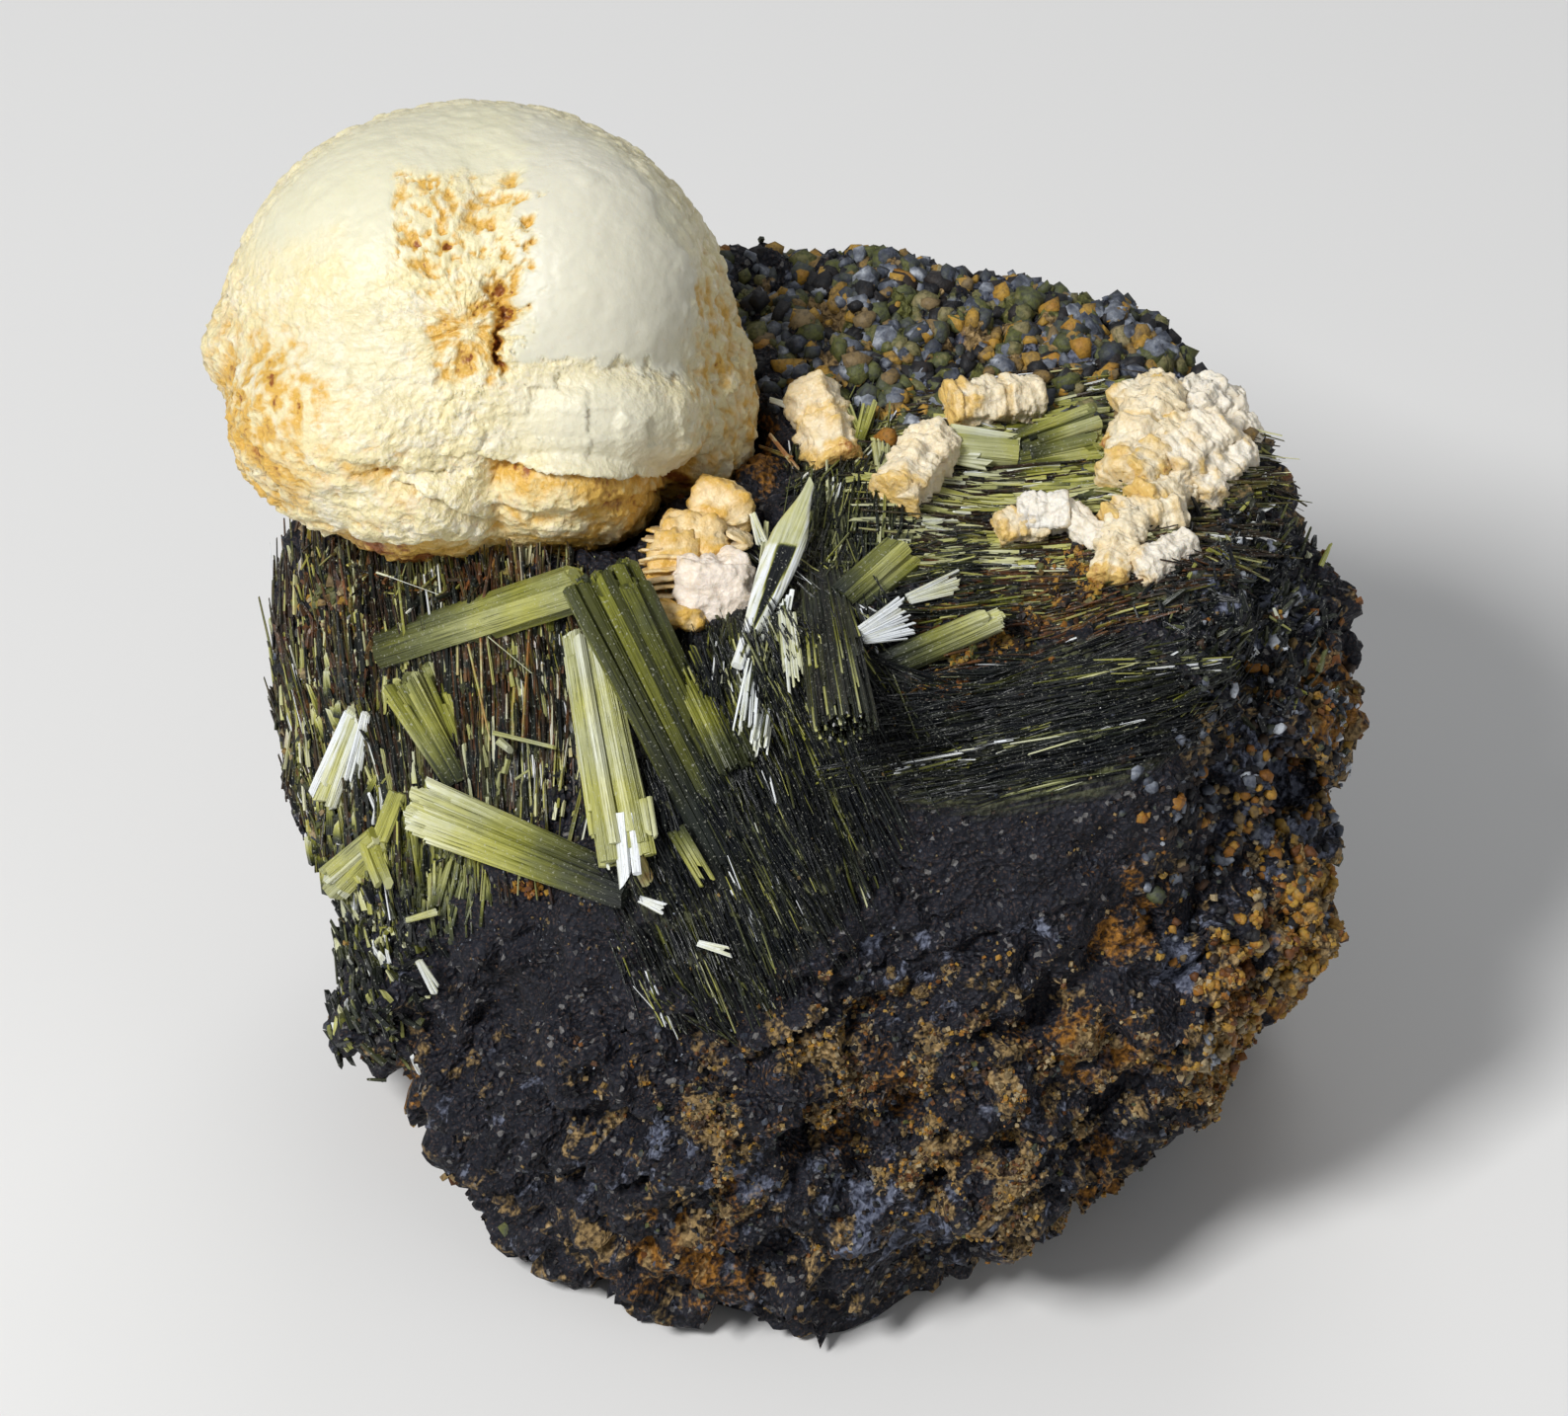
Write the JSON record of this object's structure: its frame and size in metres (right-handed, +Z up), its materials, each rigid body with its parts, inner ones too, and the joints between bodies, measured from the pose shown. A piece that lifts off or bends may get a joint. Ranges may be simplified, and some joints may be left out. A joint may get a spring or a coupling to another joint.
{
  "type": "mineral specimen",
  "caption": "Mineral specimen: a lobed creamy prehnite ball on a dark fibrous matrix rock, with sprays of olive prisms and small barrel-shaped crystals.",
  "frame": {"origin": "middle of the bounding box at the level of the flat broken face that the specimen stands on", "axes": "+Z up, -Y to the front that shows the crystals, +X to the right as seen from the front"},
  "size_m": [0.0472, 0.0408, 0.0439],
  "materials": {
    "dark_rock": "rough fibrous and granular black rock with rusty patches",
    "cream_prehnite": "milky translucent cream, satin, stained ochre in the crevices",
    "gold_prehnite": "golden cream plates with a sugary surface",
    "olive_crystal": "glassy striated olive prisms, black at the roots",
    "yellow_crystal": "glassy striated yellow-green prisms",
    "silver_crystal": "silky silver-white striated blade",
    "black_crystal": "black striated prisms with pale ends"
  },
  "bodies": {
    "root": {"matrix": "dark_rock", "prehnite_ball": "cream_prehnite", "prehnite_rosette": "gold_prehnite", "prehnite_barrel_left": "cream_prehnite", "prehnite_barrel_middle": "cream_prehnite", "prehnite_barrel_back": "cream_prehnite", "prehnite_arch": "cream_prehnite", "prehnite_cluster": "cream_prehnite", "green_spray_centre": "olive_crystal", "yellow_spray": "yellow_crystal", "green_spray_cross": "olive_crystal", "green_spray_low": "olive_crystal", "green_fan_left": "olive_crystal", "green_fan_edge": "olive_crystal", "pale_fan_edge": "olive_crystal", "pale_blade": "silver_crystal", "dark_bundle": "black_crystal", "green_blade_ledge": "olive_crystal", "green_spray_shelf": "olive_crystal", "green_tablet_shelf": "olive_crystal", "green_tablet_ledge": "olive_crystal"}
  },
  "joints": []
}
